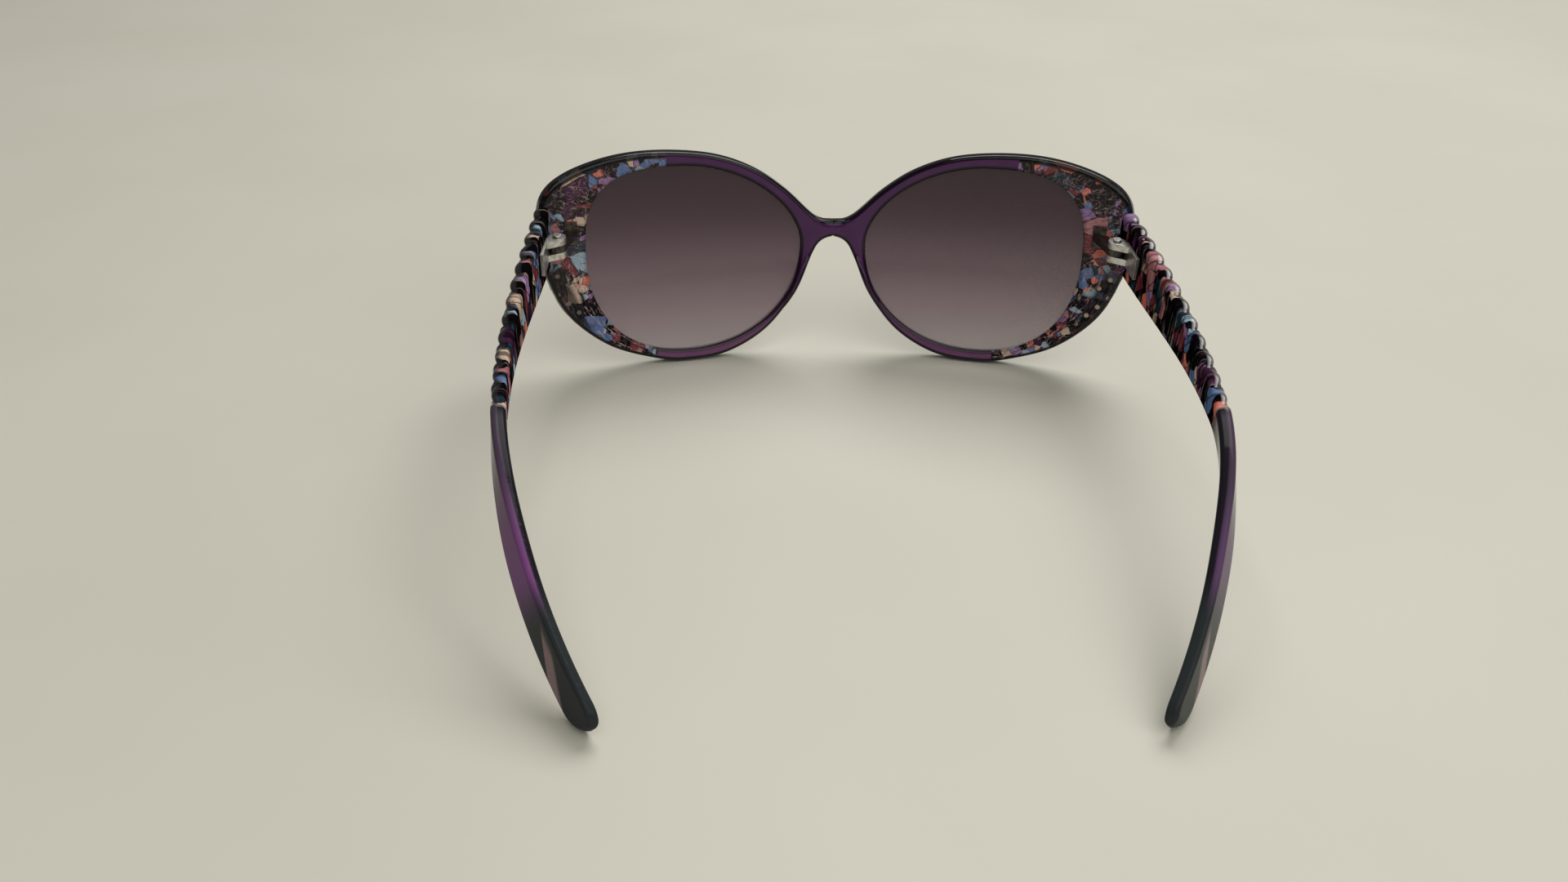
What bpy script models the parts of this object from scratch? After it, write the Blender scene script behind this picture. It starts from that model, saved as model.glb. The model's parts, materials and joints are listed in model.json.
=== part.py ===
"""Cat eye sunglasses: a moulded plastic front with two lenses in its grooves, and two folding
temples on three-knuckle screw hinges. Run with: blender --background --python part.py

Metres, +Z up, front facing -Y. The glasses stand open on a table at z = 0, on the undersides
of both rims and on both temple tips. The origin is the middle of their footprint's box.
"Left" and "right" are the wearer's: left is +X.
"""

import math

import bmesh
import bpy
from mathutils import Matrix, Vector

MM = 0.001

# Front, drawn in its own leaning plane: x outwards from the bridge, height up from its undersides.
FRONT_TILT = math.radians(9)  # the top leans forwards
FACE_RADIUS = 164 * MM  # the front and the lenses are bent to this radius
FRONT_THICKNESS = 3.6 * MM
EDGE_ROUND = 0.55 * MM
REST_DEPTH = 0.22 * MM  # depth of the small flats that the glasses stand on

# Lens opening: four quarter superellipses that meet at its widest and tallest lines.
LENS_CENTRE = (36.5 * MM, 28.5 * MM)
REACH_NOSE, REACH_OUTER = 28.4 * MM, 23.4 * MM
REACH_UP, REACH_DOWN = 19.5 * MM, 25.7 * MM
CORNER_UP_OUTER, CORNER_UP_NOSE = 2.8, 1.84
CORNER_DOWN_NOSE, CORNER_DOWN_OUTER = 2.06, 2.3
LENS_THICKNESS = 1.8 * MM
LENS_IN_GROOVE = 0.55 * MM  # how far the lens reaches into the rim
GROOVE_GAP = 0.25 * MM

# Outer outline of the left half, in mm, from the top of the bridge over the lens to its underside.
OUTLINE = (
    (0, 34.2), (4.5, 35.2), (12, 41.9), (20, 47.1), (30, 50.4), (43, 51.4), (54, 50.1), (64, 46.5),
    (69.2, 41.4), (70.4, 33), (69.2, 23.5), (64.4, 13.1), (55.2, 5.0), (44, 0.9), (36, 0.0),
    (26, 1.5), (16.5, 7.0), (9.5, 15.8), (5.6, 24.6), (3.3, 28.7), (0, 30.1),
)

# Nose pads, moulded on the backs of the rims beside the nose.
PAD_AT = (8.5 * MM, 19.0 * MM)
PAD_LENGTH, PAD_WIDTH, PAD_DEPTH = 15 * MM, 2.2 * MM, 1.8 * MM
PAD_SLOPE = math.radians(24)

# Hinge. In its own frame z is the screw, y runs back along the temple and x points outwards.
HINGE_AT = (64.7 * MM, 9.4 * MM, 33.6 * MM)  # y is measured from the rims' undersides
SCREW_RADIUS, SCREW_HEAD_RADIUS, SCREW_HEAD_HEIGHT = 0.55 * MM, 1.0 * MM, 0.5 * MM
SLOT_WIDTH, SLOT_DEPTH = 0.3 * MM, 0.25 * MM
RUNNING_GAP = 0.08 * MM
KNUCKLE_RADIUS, KNUCKLE_HEIGHT = 2.0 * MM, 1.55 * MM
FRONT_KNUCKLE_ARC, TEMPLE_KNUCKLE_ARC = (-20, 170), (110, 350)  # degrees round the screw
FRONT_KNUCKLE_ROOT = (-0.32, 0.42)  # shares of the front leaf's width
TEMPLE_KNUCKLE_ROOT = (0.1 * MM, 2.5 * MM)  # measured from the start of the temple leaf
LEAF_THICKNESS, LEAF_HEIGHT = 1.1 * MM, 5.2 * MM
FRONT_LEAF_WIDTH, TEMPLE_LEAF_LENGTH = 4.4 * MM, 9.0 * MM
FRONT_LEAF_IN = 2.0 * MM  # from the screw in to the middle of the front leaf
LEAF_SUNK = 0.7 * MM  # how deep a leaf is sunk in the plastic
POCKET_GAP = 0.12 * MM

# Temple, measured along its own middle line from the joint with the front.
TEMPLE_LENGTH = 132.7 * MM
TEMPLE_OUT = KNUCKLE_RADIUS + 0.25 * MM  # from the screw out to the temple's inner face
BUTT_AHEAD, BUTT_GAP = 1.5 * MM, 0.3 * MM  # the joint's distance ahead of the screw, and its gap
END_BLOCK_LENGTH = 5.0 * MM
TEMPLE_THICKNESS, TIP_THICKNESS = 3.6 * MM, 2.4 * MM
TEMPLE_HEIGHT, WAIST_HEIGHT, TIP_HEIGHT = 13.4 * MM, 5.4 * MM, 7.5 * MM
BUMP_COUNT, BUMP_PITCH, BUMP_DEPTH = 11, 6.6 * MM, 0.6 * MM
BEND_START, BEND_LENGTH, BEND_ANGLE = 70 * MM, 21 * MM, math.radians(25.5)
SPLAY = 2.8 * MM  # how far the temples would spread if they stayed straight
TIP_INWARDS, INWARDS_POWER = 26 * MM, 3.2
LEAN_START, LEAN_LENGTH, TIP_LEAN = 64 * MM, 40 * MM, math.radians(30)

PURPLE, SMOKE, STEEL, PRINT = "purple_plastic", "smoke_lens", "hinge_steel", "printed_plastic"
LOOKS = {  # colour, roughness, metallic
    PURPLE: ((0.10, 0.03, 0.12), 0.18, 0.0),
    SMOKE: ((0.10, 0.06, 0.08), 0.05, 0.0),
    STEEL: ((0.62, 0.60, 0.56), 0.28, 1.0),
    PRINT: ((0.16, 0.08, 0.12), 0.20, 0.0),
}

OUTLINE_STEPS = 6  # points from one outline point to the next
RIM_STEPS = 84  # points round a lens opening
LENS_STEPS = 48
BUMP_STEPS = 4
PLAIN_STEPS = 20  # sections of the temple behind its bumps
CORNER_STEPS = 3
ROUND_STEPS = 24
SIDES = {"left": 1, "right": -1}


# ---------------------------------------------------------------- scene and small helpers


def clear_scene():
    for obj in list(bpy.data.objects):
        bpy.data.objects.remove(obj)


def make_collection(name):
    collection = bpy.data.collections.new(name)
    bpy.context.scene.collection.children.link(collection)
    return collection


def make_material(name):
    colour, roughness, metallic = LOOKS[name]
    material = bpy.data.materials.new(name)
    material.use_nodes = True
    shader = material.node_tree.nodes["Principled BSDF"]
    shader.inputs["Base Color"].default_value = (*colour, 1.0)
    shader.inputs["Roughness"].default_value = roughness
    shader.inputs["Metallic"].default_value = metallic
    return material


def add_empty(name, location, collection):
    empty = bpy.data.objects.new(name, None)
    empty.location = location
    collection.objects.link(empty)
    return empty


def add_part(name, bm, parent, collection, material):
    mesh = bpy.data.meshes.new(name)
    bm.to_mesh(mesh)
    bm.free()
    mesh.shade_smooth()
    mesh.set_sharp_from_angle(angle=math.radians(35))
    if material:
        mesh.materials.append(material)
    obj = bpy.data.objects.new(name, mesh)
    obj.parent = parent
    collection.objects.link(obj)
    return obj


def add_helper(name, bm, parent, collection):
    """A solid that is only joined to a part, or cut from it."""
    obj = add_part(name, bm, parent, collection, None)
    obj.hide_render = True
    obj.display_type = "WIRE"
    return obj


def combine(obj, operation, helper):
    modifier = obj.modifiers.new(operation.lower() + "_" + helper.name, "BOOLEAN")
    modifier.operation = operation
    modifier.object = helper


def add_bevel(obj, width):
    modifier = obj.modifiers.new("rounded_edges", "BEVEL")
    modifier.width = width
    modifier.segments = 2
    modifier.limit_method = "ANGLE"
    modifier.angle_limit = math.radians(50)


def add_thickness(obj, thickness):
    modifier = obj.modifiers.new("thickness", "SOLIDIFY")
    modifier.thickness = thickness
    modifier.offset = 0
    modifier.use_even_offset = True


def box_mesh(low, high):
    bm = bmesh.new()
    size = [b - a for a, b in zip(low, high)]
    middle = [(a + b) / 2 for a, b in zip(low, high)]
    bmesh.ops.create_cube(bm, size=1, matrix=Matrix.Translation(middle) @ Matrix.Diagonal((*size, 1)))
    return bm


def rod_mesh(radius, low, high):
    """A cylinder on the z axis."""
    bm = bmesh.new()
    bmesh.ops.create_cone(
        bm, cap_ends=True, segments=ROUND_STEPS, radius1=radius, radius2=radius, depth=high - low,
        matrix=Matrix.Translation((0, 0, (low + high) / 2)),
    )
    return bm


def prism_mesh(outline, low, high):
    """A flat outline in x and y, raised from low to high."""
    bm = bmesh.new()
    face = bm.faces.new([bm.verts.new((x, y, low)) for x, y in outline])
    raised = bmesh.ops.extrude_face_region(bm, geom=[face])["geom"]
    top = [v for v in raised if isinstance(v, bmesh.types.BMVert)]
    bmesh.ops.translate(bm, verts=top, vec=(0, 0, high - low))
    bmesh.ops.recalc_face_normals(bm, faces=bm.faces)
    return bm


def sided(bm, side):
    """Leaves a left-hand mesh as it is for side 1, and turns it into a right-hand one for -1."""
    if side < 0:
        bmesh.ops.transform(bm, matrix=Matrix.Diagonal((-1, 1, 1, 1)), verts=bm.verts)
        bmesh.ops.reverse_faces(bm, faces=bm.faces)
    return bm


def evaluated_points(obj):
    """The object's points in the world, with its modifiers."""
    bpy.context.view_layer.update()
    evaluated = obj.evaluated_get(bpy.context.evaluated_depsgraph_get())
    mesh = evaluated.to_mesh()
    points = [evaluated.matrix_world @ v.co for v in mesh.vertices]
    evaluated.to_mesh_clear()
    return points


# ---------------------------------------------------------------- the bent sheet of front and lenses


def bent(x, height, depth=0.0):
    """A point depth behind the bent sheet that runs through the middle of the front and lenses."""
    rise = height - LENS_CENTRE[1]
    start = (LENS_CENTRE[0] ** 2 + LENS_CENTRE[1] ** 2) / (2 * FACE_RADIUS)
    y = (x**2 + rise**2) / (2 * FACE_RADIUS) - start
    behind = Vector((-x / FACE_RADIUS, 1, -rise / FACE_RADIUS)).normalized()
    return Vector((x, y, height)) + behind * depth


def bent_frame(x, height, depth):
    """The place and turn of something laid on the sheet, with its y axis pointing back."""
    place = Matrix.Translation(bent(x, height, depth))
    rise = height - LENS_CENTRE[1]
    lean = Matrix.Rotation(-rise / FACE_RADIUS, 4, "X")
    return place @ Matrix.Rotation(x / FACE_RADIUS, 4, "Z") @ lean


def lens_edge(angle, grow=0.0):
    """A point of the lens opening's edge, moved outwards by grow."""
    c, s = math.cos(angle), math.sin(angle)
    across = (REACH_OUTER if c > 0 else REACH_NOSE) + grow
    up = (REACH_UP if s > 0 else REACH_DOWN) + grow
    if s > 0:
        power = CORNER_UP_OUTER if c > 0 else CORNER_UP_NOSE
    else:
        power = CORNER_DOWN_OUTER if c > 0 else CORNER_DOWN_NOSE
    radius = (abs(c / across) ** power + abs(s / up) ** power) ** (-1 / power)
    return Vector((LENS_CENTRE[0] + radius * c, LENS_CENTRE[1] + radius * s))


def outline_line():
    """The front's outer outline as a smooth line, level where it crosses the middle plane."""
    points = [Vector((x * MM, height * MM)) for x, height in OUTLINE]
    before, after = [Vector((-p.x, p.y)) for p in (points[1], points[-2])]
    padded = [before, *points, after]
    line = []
    for a, b, c, d in zip(padded, padded[1:], padded[2:], padded[3:]):
        for i in range(OUTLINE_STEPS):
            t = i / OUTLINE_STEPS
            slope, curve, twist = c - a, 2 * a - 5 * b + 4 * c - d, 3 * b - a - 3 * c + d
            line.append((2 * b + slope * t + curve * t**2 + twist * t**3) / 2)
    return line + [points[-1]]


def crossing(outline, angle):
    """Where a ray from the lens centre leaves the closed outline."""
    centre, ray = Vector(LENS_CENTRE), Vector((math.cos(angle), math.sin(angle)))
    for a, b in zip(outline, outline[1:] + outline[:1]):
        side_a, side_b = (a - centre).cross(ray), (b - centre).cross(ray)
        if side_a * side_b > 0 or side_a == side_b:
            continue
        hit = a.lerp(b, side_a / (side_a - side_b))
        if (hit - centre).dot(ray) > 0:
            return hit
    raise ValueError("the outline doesn't go round the lens centre")


def rim_angles(outline):
    """Even directions round the lens, and those of the two outline ends on the middle plane."""
    ends = []
    for end in (outline[0], outline[-1]):
        away = end - Vector(LENS_CENTRE)
        ends.append(math.atan2(away.y, away.x) % math.tau)
    even = [math.tau * i / RIM_STEPS for i in range(RIM_STEPS)]
    kept = [a for a in even if min(abs(a - end) for end in ends) > math.pi / RIM_STEPS]
    return sorted(kept + ends)


def face_forwards(bm):
    bmesh.ops.recalc_face_normals(bm, faces=bm.faces)
    if sum(face.normal.y * face.calc_area() for face in bm.faces) > 0:
        bmesh.ops.reverse_faces(bm, faces=bm.faces)


def rim_sheet():
    """Half of the front as a thin ring round the left lens, open where it meets the middle plane."""
    outline = outline_line()
    bm = bmesh.new()
    spokes = []
    for angle in rim_angles(outline):
        inner, outer = lens_edge(angle), crossing(outline, angle)
        if outer.x < 0.001 * MM:
            outer.x = 0.0
        places = (inner, inner.lerp(outer, 0.5), outer)
        spokes.append([bm.verts.new(bent(*place)) for place in places])
    for a, b in zip(spokes, spokes[1:] + spokes[:1]):
        bm.faces.new((a[0], a[1], b[1], b[0]))
        bm.faces.new((a[1], a[2], b[2], b[1]))
    face_forwards(bm)
    return bm


def lens_sheet(grow):
    """The left lens as a thin disc, larger than its opening by grow all round."""
    centre = Vector(LENS_CENTRE)
    bm = bmesh.new()
    middle = bm.verts.new(bent(*centre))
    rings = []
    for share in (0.45, 0.8, 1.0):
        edge = [centre.lerp(lens_edge(math.tau * i / LENS_STEPS, grow), share) for i in range(LENS_STEPS)]
        rings.append([bm.verts.new(bent(*place)) for place in edge])
    for i in range(LENS_STEPS):
        j = (i + 1) % LENS_STEPS
        bm.faces.new((middle, rings[0][i], rings[0][j]))
        for inner, outer in zip(rings, rings[1:]):
            bm.faces.new((inner[i], outer[i], outer[j], inner[j]))
    face_forwards(bm)
    return bm


# ---------------------------------------------------------------- the front and its lenses


def add_front(datum, parts, material):
    """The bare moulding, set so that its undersides reach REST_DEPTH below the table."""
    front = add_part("frame_front", rim_sheet(), datum, parts, material)
    mirror = front.modifiers.new("other_half", "MIRROR")
    mirror.merge_threshold = 0.01 * MM
    add_thickness(front, FRONT_THICKNESS)
    add_bevel(front, EDGE_ROUND)
    datum.location.z -= min(p.z for p in evaluated_points(front)) + REST_DEPTH
    return front


def finish_front(front, datum, hinges, seat, table, helpers):
    """Moulded nose pads, grooves, end blocks and hinge pockets."""
    for name, side in SIDES.items():
        pad = add_helper("nose_pad_" + name, nose_pad_mesh(side), datum, helpers)
        combine(front, "UNION", pad)
        cut = sided(lens_sheet(LENS_IN_GROOVE + GROOVE_GAP), side)
        groove = add_helper("groove_" + name, cut, datum, helpers)
        add_thickness(groove, LENS_THICKNESS + 2 * GROOVE_GAP)
        combine(front, "DIFFERENCE", groove)
        block = add_helper("end_block_" + name, end_block_mesh(side), hinges[name], helpers)
        add_bevel(block, EDGE_ROUND)
        combine(front, "UNION", block)
        pocket = add_helper("front_pocket_" + name, front_base_mesh(seat, side, POCKET_GAP), datum, helpers)
        combine(front, "DIFFERENCE", pocket)
    combine(front, "DIFFERENCE", table)


def nose_pad_mesh(side):
    bm = bmesh.new()
    bmesh.ops.create_uvsphere(bm, u_segments=12, v_segments=10, radius=0.5)
    size = Matrix.Diagonal((PAD_WIDTH, 2 * PAD_DEPTH, PAD_LENGTH, 1))
    place = bent_frame(*PAD_AT, FRONT_THICKNESS / 2) @ Matrix.Rotation(-PAD_SLOPE, 4, "Y")
    bmesh.ops.transform(bm, matrix=place @ size, verts=bm.verts)
    return sided(bm, side)


def end_block_mesh(side):
    """The end of the front, brought back to meet the temple."""
    back = -BUTT_AHEAD - BUTT_GAP
    low = (TEMPLE_OUT, back - END_BLOCK_LENGTH, -TEMPLE_HEIGHT / 2)
    high = (TEMPLE_OUT + TEMPLE_THICKNESS, back, TEMPLE_HEIGHT / 2)
    return sided(box_mesh(low, high), side)


def add_lens(name, side, datum, parts, material):
    lens = add_part("lens_" + name, sided(lens_sheet(LENS_IN_GROOVE), side), datum, parts, material)
    add_thickness(lens, LENS_THICKNESS)


# ---------------------------------------------------------------- the hinges


def front_leaf_seat(to_hinge):
    """Where the left front leaf lies on the front's back, in line with the middle of the screw."""
    x, depth = HINGE_AT[0] - FRONT_LEAF_IN, FRONT_THICKNESS / 2
    height = HINGE_AT[2]
    for _ in range(5):
        height -= (to_hinge @ bent(x, height, depth)).z
    return bent_frame(x, height, depth)


def front_base_mesh(seat, side, grow):
    low = (-FRONT_LEAF_WIDTH / 2 - grow, -LEAF_SUNK - grow, -LEAF_HEIGHT / 2 - grow)
    high = (FRONT_LEAF_WIDTH / 2 + grow, LEAF_THICKNESS - LEAF_SUNK + grow, LEAF_HEIGHT / 2 + grow)
    bm = box_mesh(low, high)
    bmesh.ops.transform(bm, matrix=seat, verts=bm.verts)
    return sided(bm, side)


def knuckle_outline(start, stop, root):
    """An arc round the screw from start to stop degrees, closed through the points of its root."""
    steps = ROUND_STEPS // 2
    turns = [math.radians(start + (stop - start) * i / steps) for i in range(steps + 1)]
    return [(KNUCKLE_RADIUS * math.cos(a), KNUCKLE_RADIUS * math.sin(a)) for a in turns] + root


def drill(leaf, hinge, helpers):
    reach = 2 * LEAF_HEIGHT
    bore = rod_mesh(SCREW_RADIUS + RUNNING_GAP, -reach, reach)
    combine(leaf, "DIFFERENCE", add_helper(leaf.name + "_bore", bore, hinge, helpers))


def add_front_leaf(name, side, datum, hinge, seat, to_hinge, parts, helpers, material):
    """A base sunk in the front's back, with a tongue that ends in the middle knuckle."""
    leaf = add_part("front_hinge_leaf_" + name, front_base_mesh(seat, side, 0), datum, parts, material)
    middle = LEAF_THICKNESS / 2 - LEAF_SUNK
    root = []
    for share in FRONT_KNUCKLE_ROOT:
        root.append((to_hinge @ seat @ Vector((share * FRONT_LEAF_WIDTH, middle, 0)))[:2])
    outline = knuckle_outline(*FRONT_KNUCKLE_ARC, root)
    tongue = prism_mesh(outline, -KNUCKLE_HEIGHT / 2, KNUCKLE_HEIGHT / 2)
    combine(leaf, "UNION", add_helper(leaf.name + "_tongue", sided(tongue, side), hinge, helpers))
    drill(leaf, hinge, helpers)


def temple_leaf_place():
    """How far out and back from the screw the temple leaf starts, clear of the front's knuckles."""
    out = TEMPLE_OUT + LEAF_SUNK - LEAF_THICKNESS
    back = math.sqrt(max((KNUCKLE_RADIUS + RUNNING_GAP) ** 2 - out**2, 0))
    return out, back


def temple_base_mesh(side, grow):
    out, back = temple_leaf_place()
    low = (out - grow, back - grow, -LEAF_HEIGHT / 2 - grow)
    high = (out + LEAF_THICKNESS + grow, back + TEMPLE_LEAF_LENGTH + grow, LEAF_HEIGHT / 2 + grow)
    return sided(box_mesh(low, high), side)


def add_temple_leaf(name, side, hinge, parts, helpers, material):
    """A base sunk in the temple's inner face, with an upper and a lower knuckle."""
    leaf = add_part("temple_hinge_leaf_" + name, temple_base_mesh(side, 0), hinge, parts, material)
    out, start = temple_leaf_place()
    root = [(out + LEAF_THICKNESS / 4, start + back) for back in TEMPLE_KNUCKLE_ROOT]
    outline = knuckle_outline(*TEMPLE_KNUCKLE_ARC, root)
    for place, level in (("upper", 1), ("lower", -1)):
        rise = level * (KNUCKLE_HEIGHT + RUNNING_GAP)
        prong = prism_mesh(outline, rise - KNUCKLE_HEIGHT / 2, rise + KNUCKLE_HEIGHT / 2)
        combine(leaf, "UNION", add_helper(leaf.name + "_" + place, sided(prong, side), hinge, helpers))
    drill(leaf, hinge, helpers)


def add_screw(name, hinge, parts, helpers, material):
    top = 1.5 * KNUCKLE_HEIGHT + 2 * RUNNING_GAP
    head_top = top + SCREW_HEAD_HEIGHT
    shank = rod_mesh(SCREW_RADIUS, -top, head_top)
    screw = add_part("hinge_screw_" + name, shank, hinge, parts, material)
    head = rod_mesh(SCREW_HEAD_RADIUS, top, head_top)
    combine(screw, "UNION", add_helper(screw.name + "_head", head, hinge, helpers))
    reach = 2 * SCREW_HEAD_RADIUS
    low = (-reach, -SLOT_WIDTH / 2, head_top - SLOT_DEPTH)
    slot = box_mesh(low, (reach, SLOT_WIDTH / 2, head_top + reach))
    combine(screw, "DIFFERENCE", add_helper(screw.name + "_slot", slot, hinge, helpers))


# ---------------------------------------------------------------- the temples


def temple_height(s):
    """Tall and scalloped behind the hinge, slim at the bend, broader towards a round tip."""
    waist = BEND_START + BEND_LENGTH / 2
    if s < waist:
        t = s / waist
        height = TEMPLE_HEIGHT + (WAIST_HEIGHT - TEMPLE_HEIGHT) * t * t * (3 - 2 * t)
    else:
        t = (s - waist) / (TEMPLE_LENGTH - waist)
        height = WAIST_HEIGHT + (TIP_HEIGHT - WAIST_HEIGHT) * math.sin(t * math.pi / 2)
    if s < BUMP_COUNT * BUMP_PITCH:
        height -= 2 * BUMP_DEPTH * (1 - abs(math.sin(math.pi * s / BUMP_PITCH)))
    return height


def temple_lean(s):
    """How far the temple's top has turned in towards the head at s."""
    t = min(max((s - LEAN_START) / LEAN_LENGTH, 0), 1)
    return TIP_LEAN * t * t * (3 - 2 * t)


def tip_rounding(s, radius):
    """The share of its width that the temple keeps at s, so that its tip ends in the given radius."""
    left = (TEMPLE_LENGTH - s) / radius
    return max(math.sqrt(1 - (1 - left) ** 2), 0.25) if left < 1 else 1.0


def temple_stations():
    """Distances along the temple at which its section is drawn."""
    bumps = BUMP_COUNT * BUMP_STEPS
    bump_end = BUMP_COUNT * BUMP_PITCH
    tip_start = TEMPLE_LENGTH - TIP_HEIGHT / 2
    stations = [bump_end * i / bumps for i in range(bumps)]
    stations += [bump_end + (tip_start - bump_end) * i / PLAIN_STEPS for i in range(PLAIN_STEPS)]
    return stations + [TEMPLE_LENGTH - TIP_HEIGHT / 2 * share for share in (1.0, 0.7, 0.4, 0.2, 0.08, 0.0)]


def section_corners(thickness, height):
    """A rectangle with round corners, as points round its middle."""
    corner = 0.36 * min(thickness, height)
    points = []
    for x, z, start in ((1, 1, 0), (-1, 1, 90), (-1, -1, 180), (1, -1, 270)):
        for i in range(CORNER_STEPS):
            a = math.radians(start + 90 * i / (CORNER_STEPS - 1))
            across = x * (thickness / 2 - corner) + corner * math.cos(a)
            points.append((across, z * (height / 2 - corner) + corner * math.sin(a)))
    return points


def temple_rings():
    """The temple's sections in the hinge's frame: it bends down over the ear, curves in and leans."""
    rings = []
    before, back, up = 0.0, -BUTT_AHEAD, 0.0
    for s in temple_stations():
        pitch = BEND_ANGLE * min(max((s - BEND_START) / BEND_LENGTH, 0), 1)
        back += (s - before) * math.cos(pitch)
        up -= (s - before) * math.sin(pitch)
        before = s
        share = s / TEMPLE_LENGTH
        thickness = TEMPLE_THICKNESS + (TIP_THICKNESS - TEMPLE_THICKNESS) * share
        outward = TEMPLE_OUT + TEMPLE_THICKNESS - thickness / 2
        outward += SPLAY * share - TIP_INWARDS * share**INWARDS_POWER
        thickness *= tip_rounding(s, TIP_THICKNESS / 2)
        height = temple_height(s) * tip_rounding(s, TIP_HEIGHT / 2)
        lean = temple_lean(s)
        ring = []
        for across, rise in section_corners(thickness, height):
            sideways = across * math.cos(lean) - rise * math.sin(lean)
            raised = rise * math.cos(lean) + across * math.sin(lean)
            lifted = up + raised * math.cos(pitch)
            ring.append(Vector((outward + sideways, back + raised * math.sin(pitch), lifted)))
        rings.append(ring)
    return rings


def standing_slope():
    """The angle at which the temples fall back from the hinges, so that their tips reach the table."""
    tip_points = [p for ring in temple_rings()[-8:] for p in ring]
    low, high = 0.0, math.radians(30)
    while high - low > 1e-7:
        slope = (low + high) / 2
        lowest = min(HINGE_AT[2] + p.z * math.cos(slope) - p.y * math.sin(slope) for p in tip_points)
        if lowest > -REST_DEPTH:
            low = slope
        else:
            high = slope
    return low


def add_temple(name, side, hinge, table, parts, helpers, material):
    bm = bmesh.new()
    rings = [[bm.verts.new(p) for p in ring] for ring in temple_rings()]
    for a, b in zip(rings, rings[1:]):
        for i in range(len(a)):
            j = (i + 1) % len(a)
            bm.faces.new((a[i], a[j], b[j], b[i]))
    bm.faces.new(rings[0])
    bm.faces.new(rings[-1])
    bmesh.ops.recalc_face_normals(bm, faces=bm.faces)
    temple = add_part("temple_" + name, sided(bm, side), hinge, parts, material)
    pocket = add_helper("temple_pocket_" + name, temple_base_mesh(side, POCKET_GAP), hinge, helpers)
    combine(temple, "DIFFERENCE", pocket)
    combine(temple, "DIFFERENCE", table)


def main():
    clear_scene()
    parts = make_collection("cat_eye_sunglasses")
    helpers = make_collection("cutters")
    looks = {name: make_material(name) for name in LOOKS}

    datum = add_empty("front_datum", (0, 0, 0), parts)
    datum.rotation_euler.x = FRONT_TILT
    slope = standing_slope()
    hinges = {}
    for name, side in SIDES.items():
        hinges[name] = add_empty("hinge_axis_" + name, (side * HINGE_AT[0], *HINGE_AT[1:]), parts)
        hinges[name].rotation_euler.x = -slope

    reach = 2 * TEMPLE_LENGTH
    table = add_helper("table", box_mesh((-reach, -reach, -reach), (reach, reach, 0)), None, helpers)
    front = add_front(datum, parts, looks[PURPLE])
    bpy.context.view_layer.update()
    to_hinge = hinges["left"].matrix_world.inverted() @ datum.matrix_world
    seat = front_leaf_seat(to_hinge)
    finish_front(front, datum, hinges, seat, table, helpers)
    for name, side in SIDES.items():
        hinge = hinges[name]
        add_lens(name, side, datum, parts, looks[SMOKE])
        add_front_leaf(name, side, datum, hinge, seat, to_hinge, parts, helpers, looks[STEEL])
        add_temple_leaf(name, side, hinge, parts, helpers, looks[STEEL])
        add_screw(name, hinge, parts, helpers, looks[STEEL])
        add_temple(name, side, hinge, table, parts, helpers, looks[PRINT])

    depths = [p.y for obj in parts.objects if obj.type == "MESH" for p in evaluated_points(obj)]
    for base in (datum, *hinges.values()):
        base.location.y -= (min(depths) + max(depths)) / 2


main()
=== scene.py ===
"""Cat eye sunglasses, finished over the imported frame: a laminated front with a printed film at
its ends, gradient lenses, screw hinges, and temples quilted on their outer faces."""

import json
import math

import bmesh
import bpy
from mathutils import Matrix, Vector
from mathutils.kdtree import KDTree


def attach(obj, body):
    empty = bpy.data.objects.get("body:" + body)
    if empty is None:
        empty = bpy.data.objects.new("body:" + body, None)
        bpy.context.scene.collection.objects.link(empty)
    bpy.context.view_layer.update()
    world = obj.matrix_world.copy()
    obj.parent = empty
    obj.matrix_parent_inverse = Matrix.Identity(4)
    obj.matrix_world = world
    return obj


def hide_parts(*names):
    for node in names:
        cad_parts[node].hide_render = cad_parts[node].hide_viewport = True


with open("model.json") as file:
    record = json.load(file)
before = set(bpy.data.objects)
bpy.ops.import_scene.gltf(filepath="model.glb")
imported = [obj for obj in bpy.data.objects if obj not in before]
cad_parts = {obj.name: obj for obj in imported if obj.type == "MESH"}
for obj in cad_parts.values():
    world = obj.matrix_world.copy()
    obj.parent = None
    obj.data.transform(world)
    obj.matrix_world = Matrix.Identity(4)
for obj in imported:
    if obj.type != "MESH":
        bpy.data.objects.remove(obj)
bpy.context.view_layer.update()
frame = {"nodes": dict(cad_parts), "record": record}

# ---------------------------------------------------------------------------------------------
# The front. One moulding holds both rims, the bridge and the nose pads: a black layer in front
# and a clear purple one behind it, with a printed film between them at both ends. It is tumbled
# in barrels after moulding, which rounds its edges and gives the gloss.
# ---------------------------------------------------------------------------------------------
MM = 0.001
left_fold = next(j for j in frame["record"]["behaviour"]["joints"] if j["name"] == "left_temple_fold")
left_screw = Vector(left_fold["pos_m"])
front_lean = math.radians(9)
face_radius = 164.0  # this section works in millimetres up to the placing of the mesh
front_thick, outer_round, lens_side_round = 3.6, 0.95, 0.7
lens_middle = (36.5, 28.5)
lens_reach = {"nose": 28.4, "outer": 23.4, "up": 19.5, "down": 25.7}
lens_power = {("up", "outer"): 2.8, ("up", "nose"): 1.84, ("down", "nose"): 2.06, ("down", "outer"): 2.3}
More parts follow.
